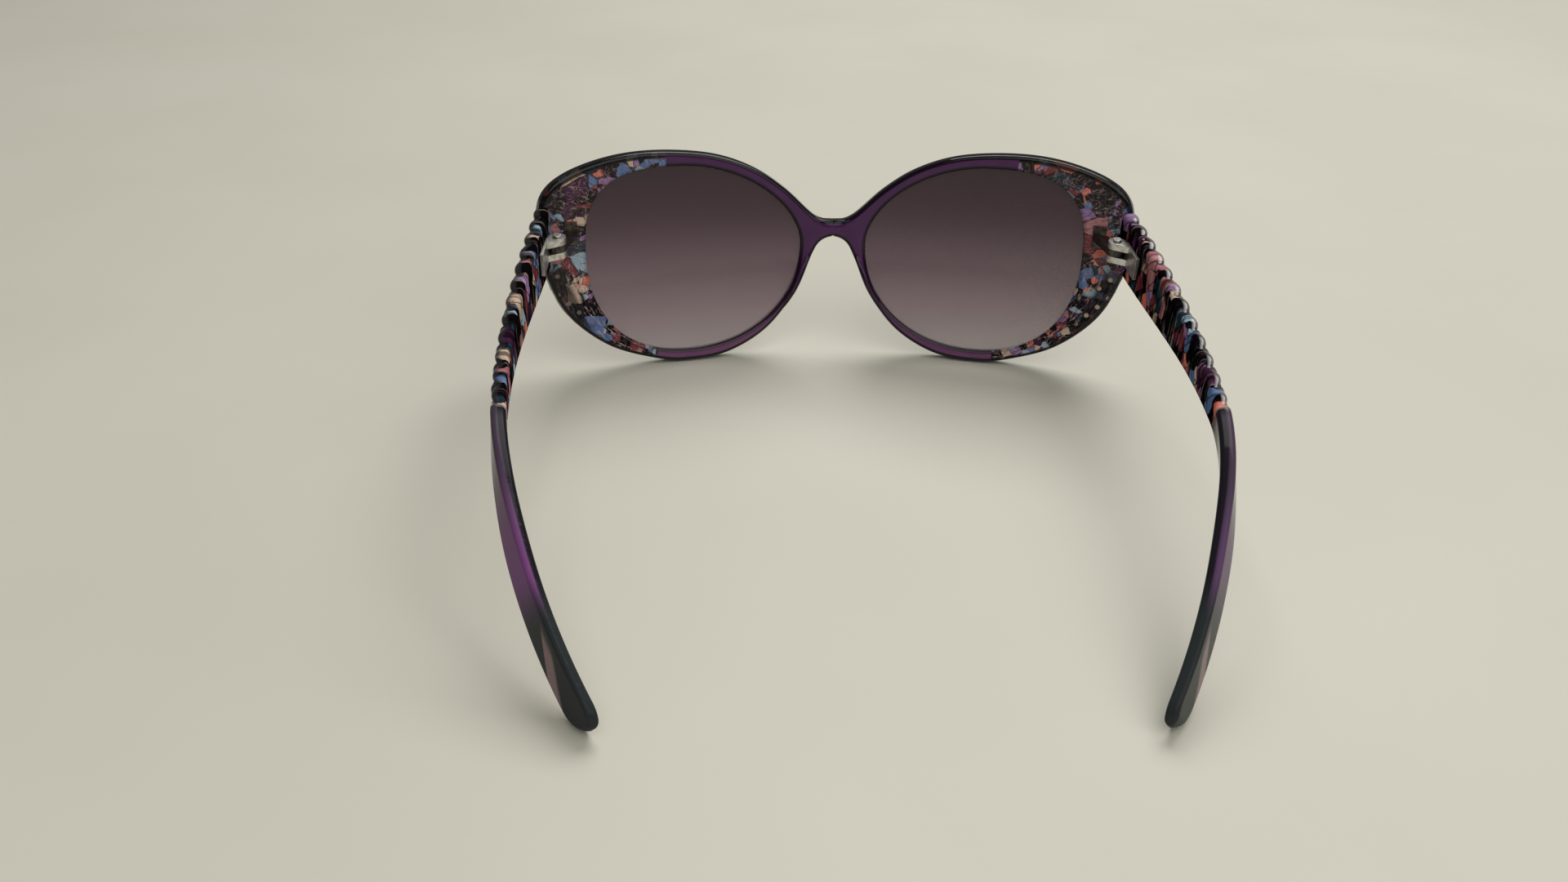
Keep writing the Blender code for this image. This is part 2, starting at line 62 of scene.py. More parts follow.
front_outline = (
    (0, 34.2), (4.5, 35.2), (12, 41.9), (20, 47.1), (30, 50.4), (43, 51.35), (54, 50.1), (64, 46.5),
    (69.2, 41.4), (70.3, 33), (69.1, 23.5), (64.4, 13.1), (55.2, 5.0), (44, 0.9), (36, 0.0),
    (26, 1.5), (16.5, 7.0), (9.5, 15.8), (5.6, 24.6), (3.3, 28.7), (0, 30.1),
)
outline_steps, lens_edge_steps, spoke_count, plain_rings = 14, 720, 340, 14
at_middle = 0.001  # nearer to the middle plane than this counts as on it
round_steps = (0.0, 0.03, 0.12, 0.28, 0.52, 1.0)  # shares of an edge's rounding at which it has a ring
pad_middle, pad_slope = (8.6, 18.5), math.radians(24)
pad_half_length, pad_half_width, pad_rise = 7.6, 1.7, 1.5
rim_foot_back = left_screw.y / MM - 9.4  # the rims' undersides stand 9.4 mm ahead of the screws
front_lift = 0.18  # brings the rims' rounded undersides level with the table
front_diamond, front_valley = 4.6, 0.5

front_place = Matrix.Translation(Vector((0, rim_foot_back, front_lift)) * MM)
front_place = front_place @ Matrix.Rotation(front_lean, 4, "X") @ Matrix.Scale(MM, 4)


def on_sheet(x, height, depth=0.0):
    """A point of the bent middle surface of front and lenses, or depth behind it."""
    rise = height - lens_middle[1]
    start = (lens_middle[0] ** 2 + lens_middle[1] ** 2) / (2 * face_radius)
    behind = Vector((-x / face_radius, 1, -rise / face_radius)).normalized()
    return Vector((x, (x * x + rise * rise) / (2 * face_radius) - start, height)) + behind * depth


def lens_edge(angle, grow=0.0):
    c, s = math.cos(angle), math.sin(angle)
    sideways, upwards = ("outer" if c > 0 else "nose"), ("up" if s > 0 else "down")
    across, up = lens_reach[sideways] + grow, lens_reach[upwards] + grow
    power = lens_power[upwards, sideways]
    radius = (abs(c / across) ** power + abs(s / up) ** power) ** (-1 / power)
    return Vector((lens_middle[0] + radius * c, lens_middle[1] + radius * s))


def smooth_outline():
    points = [Vector(p) for p in front_outline]
    padded = [Vector((-points[1].x, points[1].y)), *points, Vector((-points[-2].x, points[-2].y))]
    line = []
    for a, b, c, d in zip(padded, padded[1:], padded[2:], padded[3:]):
        slope, curve, twist = c - a, 2 * a - 5 * b + 4 * c - d, 3 * b - a - 3 * c + d
        for i in range(outline_steps):
            t = i / outline_steps
            line.append((2 * b + slope * t + curve * t**2 + twist * t**3) / 2)
    return line + [points[-1]]


def rim_edge(outline, angle):
    """Where a ray from the middle of the lens leaves the outline."""
    middle, ray = Vector(lens_middle), Vector((math.cos(angle), math.sin(angle)))
    for a, b in zip(outline, outline[1:] + outline[:1]):
        side_a, side_b = (a - middle).cross(ray), (b - middle).cross(ray)
        if side_a * side_b > 0 or side_a == side_b:
            continue
        hit = a.lerp(b, side_a / (side_a - side_b))
        if (hit - middle).dot(ray) > 0:
            return hit
    raise ValueError("the outline is open")


def distance_from(line, tree, point, closed=True):
    """How far a point is from a line of points that a KD tree holds in the same order."""
    nearest = tree.find(point.to_3d())[1]
    best = math.inf
    for i in (nearest - 1, nearest):
        if not closed and i in (-1, len(line) - 1):
            continue
        a, b = line[i % len(line)], line[(i + 1) % len(line)]
        share = min(max((point - a).dot(b - a) / max((b - a).length_squared, 1e-9), 0), 1)
        best = min(best, (point - a.lerp(b, share)).length)
    return best


def point_tree(line):
    tree = KDTree(len(line))
    for i, point in enumerate(line):
        tree.insert(point.to_3d(), i)
    tree.balance()
    return tree


def smooth_step(low, high, value):
    t = min(max((value - low) / (high - low), 0.0), 1.0)
    return t * t * (3 - 2 * t)


def edge_drop(distance, radius):
    """How far the face lies below its full height at this distance from a rounded edge."""
    left = radius - min(distance, radius)
    return radius - math.sqrt(max(radius * radius - left * left, 0.0))


def pad_height(x, height):
    along = (height - pad_middle[1]) * math.cos(pad_slope) - (x - pad_middle[0]) * math.sin(pad_slope)
    aside = (height - pad_middle[1]) * math.sin(pad_slope) + (x - pad_middle[0]) * math.cos(pad_slope)
    near = (along / pad_half_length) ** 2 + (aside / pad_half_width) ** 2
    return pad_rise * (1 - near) ** 0.75 if near < 1 else 0.0


def new_piece(name, bm, smooth_angle=40):
    mesh = bpy.data.meshes.new(name)
    bm.to_mesh(mesh)
    bm.free()
    mesh.shade_smooth()
    mesh.set_sharp_from_angle(angle=math.radians(smooth_angle))
    piece = bpy.data.objects.new(name, mesh)
    bpy.context.scene.collection.objects.link(piece)
    return piece


def settle(piece):
    """Turns a piece's modifiers into its plain mesh."""
    graph = bpy.context.evaluated_depsgraph_get()
    mesh = bpy.data.meshes.new_from_object(piece.evaluated_get(graph))
    piece.modifiers.clear()
    old, piece.data = piece.data, mesh
    bpy.data.meshes.remove(old)
    mesh.name = piece.name


def half_front():
    """The left rim and half of the bridge, as a front and a back face with a wall between them."""
    outline = smooth_outline()
    outline_tree = point_tree(outline)
    inner_line = [lens_edge(math.tau * i / lens_edge_steps) for i in range(lens_edge_steps)]
    inner_tree = point_tree(inner_line)
    ends = []  # spokes at the two middle points of the bridge, and closer ones along its underside
    for end in (outline[0], *outline[-1:-2 * outline_steps:-2]):
        away = end - Vector(lens_middle)
        ends.append(math.atan2(away.y, away.x) % math.tau)
    even = [math.tau * i / spoke_count for i in range(spoke_count)]
    angles = sorted([a for a in even if min(abs(a - e) for e in ends) > math.pi / spoke_count] + ends)
    bm = bmesh.new()
    sheet_layer = bm.verts.layers.float_vector.new("sheet")
    edge_layer = bm.verts.layers.float_vector.new("edges")
    spokes = []
    for angle in angles:
        inner, outer = lens_edge(angle), rim_edge(outline, angle)
        on_middle = outer.x < at_middle
        if on_middle:
            outer.x = 0.0
        wide = (outer - inner).length
        steps = [lens_side_round * share for share in round_steps[:-1]]
        first, last = lens_side_round, wide - outer_round
        steps += [first + (last - first) * i / plain_rings for i in range(plain_rings + 1)]
        steps += [wide - outer_round * share for share in reversed(round_steps[:-1])]
        spoke = []
        for step in steps:
            x, height = inner.lerp(outer, step / wide)
            to_outline = distance_from(outline, outline_tree, Vector((x, height)), closed=False)
            to_lens = distance_from(inner_line, inner_tree, Vector((x, height)))
            if step == steps[-1] and angle not in ends and not on_middle:
                to_outline = 0.0
            if step == steps[0]:
                to_lens = 0.0
            half = front_thick / 2 - edge_drop(to_outline, outer_round) - edge_drop(to_lens, lens_side_round)
            pair = []
            for depth in (-half, half + pad_height(x, height)):
                vert = bm.verts.new(on_sheet(x, height, depth))
                vert[sheet_layer] = (x, height, min(depth, front_thick / 2))
                vert[edge_layer] = (to_lens, to_outline, 0)
                pair.append(vert)
            spoke.append(pair)
        spokes.append(spoke)
    for a, b in zip(spokes, spokes[1:] + spokes[:1]):
        for k in range(len(a) - 1):
            bm.faces.new((a[k][0], a[k + 1][0], b[k + 1][0], b[k][0]))
            bm.faces.new((a[k][1], b[k][1], b[k + 1][1], a[k + 1][1]))
        bm.faces.new((a[0][0], b[0][0], b[0][1], a[0][1]))
        if max(a[-1][0].co.x, b[-1][0].co.x) > at_middle:
            bm.faces.new((a[-1][0], a[-1][1], b[-1][1], b[-1][0]))
    bmesh.ops.recalc_face_normals(bm, faces=bm.faces)
    return bm


def add_node(tree, kind, settings=None, **inputs):
    """A shader node. Each input is a value or another node's output, given by its name, or by its
    place as in_0, in_1 and so on."""
    made = tree.nodes.new("ShaderNode" + kind)
    for key, value in (settings or {}).items():
        setattr(made, key, value)
    for key, value in inputs.items():
        socket = made.inputs[int(key[3:])] if key.startswith("in_") else made.inputs[key.replace("_", " ")]
        if isinstance(value, bpy.types.NodeSocket):
            tree.links.new(value, socket)
        else:
            socket.default_value = value
    return made


def maths(tree, operation, first, second=0.0, third=0.0):
    return add_node(tree, "Math", {"operation": operation}, in_0=first, in_1=second, in_2=third).outputs[0]


def times(tree, first, second):
    return maths(tree, "MULTIPLY", first, second)


def plus(tree, first, second):
    return maths(tree, "ADD", first, second)


def minus(tree, first, second):
    return maths(tree, "SUBTRACT", first, second)


def vector(tree, operation, first, second):
    return add_node(tree, "VectorMath", {"operation": operation}, in_0=first, in_1=second).outputs[0]


def carried(tree, name, output="Vector"):
    """What the mesh carries at each of its points under this name."""
    return add_node(tree, "Attribute", {"attribute_name": name}).outputs[output]


def noise(tree, place, scale, detail):
    return add_node(tree, "TexNoise", Vector=place, Scale=scale, Detail=detail).outputs["Fac"]


def spread(tree, value, given, wanted=(0.0, 1.0)):
    """Stretches one range of a value over another, and holds it at the ends."""
    (low, high), (first, last) = given, wanted
    return add_node(tree, "MapRange", in_0=value, in_1=low, in_2=high, in_3=first, in_4=last).outputs[0]


def colour_run(tree, value, run, stepped=False):
    """Colours in a row along a value from 0 to 1, given as pairs of place and colour."""
    made = add_node(tree, "ValToRGB", in_0=value)
    ramp = made.color_ramp
    ramp.interpolation = "CONSTANT" if stepped else "LINEAR"
    ramp.elements.remove(ramp.elements[1])
    ramp.elements[0].position, ramp.elements[0].color = run[0]
    for place, colour in run[1:]:
        ramp.elements.new(place).color = colour
    return made.outputs[0]


def crossed_waves(tree, along, across):
    """0 along the quilting's valleys, 1 where two pillows' middles lie."""
    one = maths(tree, "SINE", times(tree, plus(tree, along, across), math.pi))
    other = maths(tree, "SINE", times(tree, minus(tree, along, across), math.pi))
    return maths(tree, "ABSOLUTE", times(tree, one, other))


def fade(tree, value, low, high):
    """0 where value is at low, 1 where it is at high."""
    ramp = add_node(tree, "MapRange", {"interpolation_type": "SMOOTHSTEP"}, in_0=value, in_1=low, in_2=high)
    return ramp.outputs[0]


def mix(tree, share, under, over):
    made = add_node(tree, "Mix", {"data_type": "RGBA"})
    for socket, value in ((made.inputs[0], share), (made.inputs[6], under), (made.inputs[7], over)):
        if isinstance(value, bpy.types.NodeSocket):
            tree.links.new(value, socket)
        else:
            socket.default_value = value
    return made.outputs[2]


def paint(red, green, blue):
    """A colour as a painter reads it, 0 to 255, turned into the light it gives."""
    return tuple((value / 255) ** 2.2 for value in (red, green, blue)) + (1.0,)


def start_finish(name, roughness, metallic=0.0):
    """An empty finish: its node tree and its shader."""
    material = bpy.data.materials.new(name)
    material.use_nodes = True
    shader = material.node_tree.nodes["Principled BSDF"]
    shader.inputs["Roughness"].default_value = roughness
    shader.inputs["Metallic"].default_value = metallic
    return material, material.node_tree, shader


def quilting_tree():
    """Diamonds in low relief. Valleys sink along the mesh's own inward directions."""
    tree = bpy.data.node_groups.new("quilting", "GeometryNodeTree")
    wanted = (("Geometry", "Geometry"), ("Pitch", "Float"), ("Depth", "Float"), ("Finish", "Material"))
    for name, kind in wanted:
        tree.interface.new_socket(name, in_out="INPUT", socket_type="NodeSocket" + kind)
    tree.interface.new_socket("Geometry", in_out="OUTPUT", socket_type="NodeSocketGeometry")
    given = tree.nodes.new("NodeGroupInput")

    def stored(name):
        made = tree.nodes.new("GeometryNodeInputNamedAttribute")
        made.data_type = "FLOAT_VECTOR"
        made.inputs["Name"].default_value = name
        return made.outputs["Attribute"]

    along, across, share = add_node(tree, "SeparateXYZ", in_0=stored("quilt_place")).outputs
    turns = maths(tree, "DIVIDE", along, given.outputs["Pitch"])
    pillow = maths(tree, "SQRT", crossed_waves(tree, turns, across))
    valley = times(tree, minus(tree, 1.0, pillow), share)
    sunk = times(tree, valley, given.outputs["Depth"])
    scale = add_node(tree, "VectorMath", {"operation": "SCALE"}, in_0=stored("inward"), Scale=sunk)
    move = tree.nodes.new("GeometryNodeSetPosition")
    tree.links.new(given.outputs["Geometry"], move.inputs["Geometry"])
    tree.links.new(scale.outputs[0], move.inputs["Offset"])
    keep = tree.nodes.new("GeometryNodeStoreNamedAttribute")
    keep.data_type = "FLOAT"
    keep.inputs["Name"].default_value = "valley"
    tree.links.new(move.outputs[0], keep.inputs["Geometry"])
    tree.links.new(valley, keep.inputs["Value"])
    realize = tree.nodes.new("GeometryNodeRealizeInstances")
    tree.links.new(keep.outputs[0], realize.inputs[0])
    finish = tree.nodes.new("GeometryNodeSetMaterial")
    tree.links.new(realize.outputs[0], finish.inputs["Geometry"])
    tree.links.new(given.outputs["Finish"], finish.inputs["Material"])
    tree.links.new(finish.outputs[0], tree.nodes.new("NodeGroupOutput").inputs[0])
    return tree


quilting = quilting_tree()


def quilt(piece, pitch, depth, finish):
    """Sinks the quilting's valleys into a piece and gives it its finish."""
    relief = piece.modifiers.new("quilting", "NODES")
    relief.node_group = quilting
    values = {"Pitch": pitch, "Depth": depth, "Finish": finish}
    for item in quilting.interface.items_tree:
        if item.name in values:
            relief[item.identifier] = values[item.name]
    settle(piece)


black_layer, film_black = paint(8, 6, 9), paint(22, 20, 22)
print_colours = (
    film_black, paint(222, 120, 104), film_black, paint(150, 176, 192), paint(70, 40, 66), film_black,
    paint(205, 180, 160), paint(40, 56, 66), paint(176, 116, 122), film_black, paint(96, 120, 165),
    paint(120, 56, 62), film_black, paint(150, 116, 164),
)


def mosaic(tree, place):
    """A generic print: shards about one unit wide, each of one colour, in no order."""
    cells = add_node(tree, "TexVoronoi", {"feature": "F1"}, Vector=place, Scale=1.0)
    pick = add_node(tree, "SeparateColor", in_0=cells.outputs["Color"]).outputs[0]
    row = [(i / len(print_colours), colour) for i, colour in enumerate(print_colours)]
    shards = colour_run(tree, pick, row, stepped=True)
    edge = add_node(tree, "TexVoronoi", {"feature": "DISTANCE_TO_EDGE"}, Vector=place, Scale=1.0)
    return mix(tree, fade(tree, edge.outputs["Distance"], 0.05, 0.0), shards, film_black)


def front_finish():
    material, tree, shader = start_finish("front_purple_and_print", 0.08)
    shader.inputs["Specular IOR Level"].default_value = 0.3
    sheet = carried(tree, "sheet")
    edges = carried(tree, "edges")
    from_lens, from_outline, _ = add_node(tree, "SeparateXYZ", in_0=edges).outputs
    x, height, depth = add_node(tree, "SeparateXYZ", in_0=sheet).outputs
    outward = maths(tree, "ABSOLUTE", x)
    wander = add_node(tree, "TexNoise", Vector=sheet, Scale=0.5, Detail=3.0).outputs["Color"]
    shift = vector(tree, "ADD", wander, (-0.5, -0.5, 0))
    place = vector(tree, "ADD", sheet, vector(tree, "MULTIPLY", shift, (1, 1, 0)))

    # painted light: the clear purple layer is drawn lighter low down, standing for light from the table
    # coming through it; it is dark where it thins at its edges, where the black layer shows through, with
    # painted shade of the groove by the lens
    purple = mix(tree, fade(tree, height, 3.0, 26.0), paint(118, 80, 112), paint(72, 38, 80))
    cloud = noise(tree, sheet, 0.1, 1.0)
    purple = mix(tree, times(tree, fade(tree, cloud, 0.35, 0.7), 0.4), purple, paint(92, 52, 98))

    # the printed film: large and small shards, with thin pale curls over them
    broad = mosaic(tree, vector(tree, "MULTIPLY", place, (0.2, 0.2, 0)))
    small = mosaic(tree, vector(tree, "MULTIPLY", place, (0.5, 0.5, 0)))
    patchy = noise(tree, place, 0.12, 1.0)
    film = mix(tree, fade(tree, patchy, 0.47, 0.49), broad, small)
    curls = add_node(tree, "TexNoise", Vector=place, Scale=0.5, Detail=2.0, Distortion=1.0).outputs["Fac"]
    curl = maths(tree, "ABSOLUTE", minus(tree, curls, 0.5))
    film = mix(tree, times(tree, fade(tree, curl, 0.018, 0.006), 0.7), film, paint(170, 126, 136))
    # everything in the print is drawn in fine strokes: across the rim above, along it below
    over, out = minus(tree, height, lens_middle[1]), minus(tree, outward, lens_middle[0])
    turn = maths(tree, "ARCTAN2", over, out)
    away = maths(tree, "SQRT", maths(tree, "MULTIPLY_ADD", over, over, times(tree, out, out)))
    polar = add_node(tree, "CombineXYZ", in_0=turn, in_1=away).outputs[0]
    radial = vector(tree, "MULTIPLY", polar, (40.0, 0.55, 0))
    hoops = vector(tree, "MULTIPLY", polar, (11.0, 1.9, 0))
    way = mix(tree, fade(tree, turn, -0.1, 0.2), hoops, radial)
    strokes = add_node(tree, "TexNoise", Vector=way, Scale=1.0, Detail=3.0, Roughness=0.65).outputs["Fac"]
    film = mix(tree, times(tree, fade(tree, strokes, 0.5, 0.34), 0.45), film, paint(26, 14, 18))
    pale_share = maths(tree, "MULTIPLY_ADD", fade(tree, turn, 0.0, -0.3), 0.4, 0.25)
    film = mix(tree, times(tree, fade(tree, strokes, 0.54, 0.7), pale_share), film, paint(220, 204, 200))

    # painted highlights: the crests of the moulded diamonds are drawn as rows of pale dots along the lower
    # outer edge, brighter on the right end where the light falls
    edge_zone = fade(tree, plus(tree, outward, times(tree, height, -0.42)), 54.5, 56.0)
    edge_zone = times(tree, edge_zone, fade(tree, height, 27.0, 24.0))
    film = mix(tree, times(tree, edge_zone, 0.8), film, film_black)
    turns = maths(tree, "DIVIDE", outward, front_diamond)
    rows = maths(tree, "DIVIDE", height, front_diamond)
    painted_glint_dots = times(tree, edge_zone, fade(tree, crossed_waves(tree, turns, rows), 0.8, 0.95))
    painted_glint_dots = times(tree, painted_glint_dots, spread(tree, x, (-1, 1), (1.0, 0.3)))
    film = mix(tree, painted_glint_dots, film, paint(190, 172, 152))

    # the film starts at a straight cut across each rim
    left_cut = spread(tree, height, (0.0, 51.0), (43.8, 40.6))
    right_cut = spread(tree, height, (0.0, 51.0), (-40.3, -43.6))
    on_left = fade(tree, minus(tree, x, left_cut), -0.08, 0.08)
    on_right = fade(tree, minus(tree, x, right_cut), 0.08, -0.08)
    on_film = maths(tree, "MAXIMUM", on_left, on_right)
    colour = mix(tree, on_film, purple, film)
    # a dark band along the lens edge: partly the black layer seen through the thin rim, partly painted shade
    # of the lens groove
    lens_dark = maths(tree, "MULTIPLY_ADD", on_film, -0.6, 0.85)
    near_lens_black_and_shade = times(tree, fade(tree, from_lens, 1.1, 0.5), lens_dark)
    colour = mix(tree, near_lens_black_and_shade, colour, black_layer)
    band = times(tree, on_film, fade(tree, height, 34, 44))
    rim_dark = fade(tree, minus(tree, from_outline, times(tree, band, 0.6)), 1.0, 0.6)
    colour = mix(tree, times(tree, rim_dark, 0.92), colour, black_layer)
    behind = fade(tree, depth, 0.95, 0.6)
    ahead = times(tree, fade(tree, depth, -1.0, -1.3), on_film)
    black = times(tree, behind, minus(tree, 1.0, ahead))
    colour = mix(tree, black, colour, black_layer)
    tree.links.new(colour, shader.inputs["Base Color"])

    polish = noise(tree, sheet, 0.9, 3.0)
    tree.links.new(spread(tree, polish, (0, 1), (0.04, 0.13)), shader.inputs["Roughness"])
    ripple = noise(tree, sheet, 0.35, 1.0)
    bump = add_node(tree, "Bump", Strength=0.05, Distance=0.0004, Height=ripple)
    tree.links.new(bump.outputs[0], shader.inputs["Normal"])
    return material


front = new_piece("front_moulding", half_front())
mirror = front.modifiers.new("other_half", "MIRROR")
mirror.merge_threshold = 0.01
settle(front)
sheets = front.data.attributes["sheet"].data
quilt_places = front.data.attributes.new("quilt_place", "FLOAT_VECTOR", "POINT").data
inwards = front.data.attributes.new("inward", "FLOAT_VECTOR", "POINT").data
for vertex, sheet, place, inward in zip(front.data.vertices, sheets, quilt_places, inwards):
    x, height, depth = sheet.vector
    sheet.vector = (math.copysign(x, vertex.co.x), height, depth)
    at_end = smooth_step(57, 61, x + 0.25 * (28 - height)) * (1 - smooth_step(38, 44, height))
    place.vector = (x, height / front_diamond, at_end * smooth_step(0.7, 1.4, -depth))
    inward.vector = (0, math.cos(front_lean), math.sin(front_lean))
front.data.transform(front_place)
for vertex in front.data.vertices:
    vertex.co.z = max(vertex.co.z, 0.0)
quilt(front, front_diamond, front_valley * MM, front_finish())
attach(front, "front")
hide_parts("frame_front")

# ---------------------------------------------------------------------------------------------
# The lenses. Each is a bent sheet of tinted plastic, dyed dark at the top and pale at the
# bottom, with a polished bevel that sits in a groove round the rim.
# ---------------------------------------------------------------------------------------------
lens_thick, lens_grow = 1.8, 0.55
lens_steps, lens_bevel = 144, 0.25
lens_ring_shares = (0.2, 0.4, 0.55, 0.7, 0.8, 0.88, 0.94, 0.98, 1.0)


def lens_disc(side):
    middle = Vector(lens_middle)
    bm = bmesh.new()
    layer = bm.verts.layers.float_vector.new("sheet")

    def point(place):
        vert = bm.verts.new(on_sheet(*place))
        vert[layer] = (side * place.x, place.y, 0)
        return vert

    hub = point(middle)
    rings = []
    for share in lens_ring_shares:
        edge = [lens_edge(math.tau * i / lens_steps, lens_grow) for i in range(lens_steps)]
        rings.append([point(middle.lerp(place, share)) for place in edge])
    for i in range(lens_steps):
        j = (i + 1) % lens_steps
        bm.faces.new((hub, rings[0][i], rings[0][j]))
        for inner, outer in zip(rings, rings[1:]):
            bm.faces.new((inner[i], outer[i], outer[j], inner[j]))
    if side < 0:
        bmesh.ops.transform(bm, matrix=Matrix.Diagonal((-1, 1, 1, 1)), verts=bm.verts)
    bmesh.ops.recalc_face_normals(bm, faces=bm.faces)
    if sum(face.normal.y * face.calc_area() for face in bm.faces) > 0:
        bmesh.ops.reverse_faces(bm, faces=bm.faces)
    return bm


def lens_finish():
    material, tree, shader = start_finish("gradient_lens", 0.05)
    sheet = carried(tree, "sheet")
    height = add_node(tree, "SeparateXYZ", in_0=sheet).outputs[1]
    dye = colour_run(tree, spread(tree, height, (2.0, 48.0)), (
        (0.0, paint(168, 148, 154)), (0.22, paint(140, 112, 124)), (0.45, paint(108, 78, 94)),
        (0.7, paint(76, 50, 64)), (1.0, paint(56, 34, 46)),
    ))
    mottle = noise(tree, sheet, 0.05, 1.0)
    shade = mix(tree, fade(tree, mottle, 0.3, 0.8), dye, paint(88, 60, 80))
    tree.links.new(mix(tree, 0.12, dye, shade), shader.inputs["Base Color"])
    density = spread(tree, height, (4.0, 40.0), (0.5, 0.93))
    tree.links.new(density, shader.inputs["Alpha"])
    return material


gradient = lens_finish()
for name, side in (("left", 1), ("right", -1)):
    lens = new_piece("gradient_lens_" + name, lens_disc(side))
    thickness = lens.modifiers.new("thickness", "SOLIDIFY")
    thickness.thickness = lens_thick
    thickness.offset = 0
    thickness.use_even_offset = True
    bevel = lens.modifiers.new("bevel", "BEVEL")
    bevel.width = lens_bevel
    bevel.segments = 2
    bevel.limit_method = "ANGLE"
    bevel.angle_limit = math.radians(50)
    settle(lens)
    lens.data.transform(front_place)
    lens.data.materials.append(gradient)
    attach(lens, "front")
    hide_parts("lens_" + name)

# ---------------------------------------------------------------------------------------------
# The temples and end blocks. Clear plastic is moulded over a printed strip: the inner face is
# flat, and the outer face is quilted as far as the bend. Behind that the plastic is plain purple
# to a dark tip. The end blocks are the same bar, glued to the front with its quilting running on.
# ---------------------------------------------------------------------------------------------
temple_long = 132.5
temple_out, butt_ahead, butt_gap, end_block_long = 2.25, 1.5, 0.3, 6.4
hinge_thick, tip_thick = 3.6, 2.4
hinge_tall, waist_tall, tip_tall = 13.4, 5.4, 7.5
bump_count, bump_pitch = 11, 6.6
bend_start, bend_long, bend_turn = 70.0, 21.0, math.radians(25.5)
splay, tip_inwards, inwards_power = 2.8, 26.0, 3.2
bar_roll = math.radians(30)  # the tips lean in at the top, to follow the head
valley_deep = 0.8
bump_end = bump_count * bump_pitch
screw_lean = math.asin(left_fold["axis"][1])
end_round = 0.5  # radius of the bars' edges where they butt
corner_steps, tip_round_long, tip_round_steps = 6, 4, 16


def temple_tall(s):
    waist = bend_start + bend_long / 2
    if s < waist:
        t = max(s, 0) / waist
        return hinge_tall + (waist_tall - hinge_tall) * t * t * (3 - 2 * t)
    t = (s - waist) / (temple_long - waist)
    return waist_tall + (tip_tall - waist_tall) * math.sin(t * math.pi / 2)


def tip_share(s, radius):
    left = (temple_long - s) / radius
    return max(math.sqrt(max(1 - (1 - left) ** 2, 0)), 0.06) if left < 1 else 1.0


def bar_section(thick, tall, corner):
    """Points round a bar: its outer side, top, inner side and underside, with round corners."""
    # each corner's side and height, the angle it starts at, and the steps to the next corner
    sides = ((1, -1, -90, 24), (1, 1, 0, 6), (-1, 1, 90, 16), (-1, -1, 180, 6))
    corners = []
    for x, z, start, _ in sides:
        centre = Vector((x * (thick / 2 - corner), z * (tall / 2 - corner)))
        turns = [math.radians(start + 90 * i / corner_steps) for i in range(corner_steps + 1)]
        corners.append([centre + Vector((math.cos(a), math.sin(a))) * corner for a in turns])
    points = []
    for i, (_, _, _, along) in enumerate(sides):
        points += corners[i]
        following = corners[(i + 1) % 4][0]
        points += [corners[i][-1].lerp(following, k / along) for k in range(1, along)]
    return points


def quilted_bar(side, stations):
    """The bar between two stations, with its strip's place and its quilting's place on each point."""
    bm = bmesh.new()
    strip = bm.verts.layers.float_vector.new("strip")
    diamond = bm.verts.layers.float_vector.new("quilt_place")
    inward = bm.verts.layers.float_vector.new("inward")
    rings = []
    before, back, up = 0.0, -butt_ahead, 0.0
    for s in stations:
        pitch = bend_turn * min(max((s - bend_start) / bend_long, 0), 1)
        back += (s - before) * math.cos(pitch)
        up -= (s - before) * math.sin(pitch)
        before = s
        share = max(s, 0) / temple_long
        thick = hinge_thick + (tip_thick - hinge_thick) * share
        outward = temple_out + hinge_thick - thick / 2 + splay * share - tip_inwards * share**inwards_power
        from_end = min(abs(s - stations[0]), end_round)
        trim = end_round - math.sqrt(end_round**2 - (end_round - from_end) ** 2)
        thick = thick * tip_share(s, tip_thick / 2) - 2 * trim
        tall = temple_tall(s) * tip_share(s, tip_tall / 2) - 2 * trim
        bumps = 1 - smooth_step(bump_end - 1.2, bump_end + 0.3, s)
        roll = bar_roll * smooth_step(64, 104, s)
        ring = []
        for across, rise in bar_section(thick, tall, 0.34 * min(thick, tall)):
            v = rise / (tall / 2)
            sideways = across * math.cos(roll) - rise * math.sin(roll)
            raised = rise * math.cos(roll) + across * math.sin(roll)
            outer = smooth_step(-1.0, 0.2, across / (thick / 2))
            place = (outward + sideways, back + raised * math.sin(pitch), up + raised * math.cos(pitch))
            vert = bm.verts.new(place)
            vert[strip] = (s, rise, across)
            vert[diamond] = (s, v, bumps * outer)
            deep = min(valley_deep, 0.42 * thick)
            vert[inward] = (-side * deep, 0, -0.45 * deep * v * v * math.copysign(1, v))
            ring.append(vert)
        rings.append(ring)
    for a, b in zip(rings, rings[1:]):
        for i in range(len(a)):
            j = (i + 1) % len(a)
            bm.faces.new((a[i], a[j], b[j], b[i]))
    bm.faces.new(rings[0])
    bm.faces.new(rings[-1])
    screw = Matrix.Translation(left_screw) @ Matrix.Rotation(-screw_lean, 4, "X") @ Matrix.Scale(MM, 4)
    bmesh.ops.transform(bm, matrix=screw, verts=bm.verts)
    for vert in bm.verts:
        vert.co.z = max(vert.co.z, 0.0)
    if side < 0:
        bmesh.ops.transform(bm, matrix=Matrix.Diagonal((-1, 1, 1, 1)), verts=bm.verts)
    bmesh.ops.recalc_face_normals(bm, faces=bm.faces)
    return bm


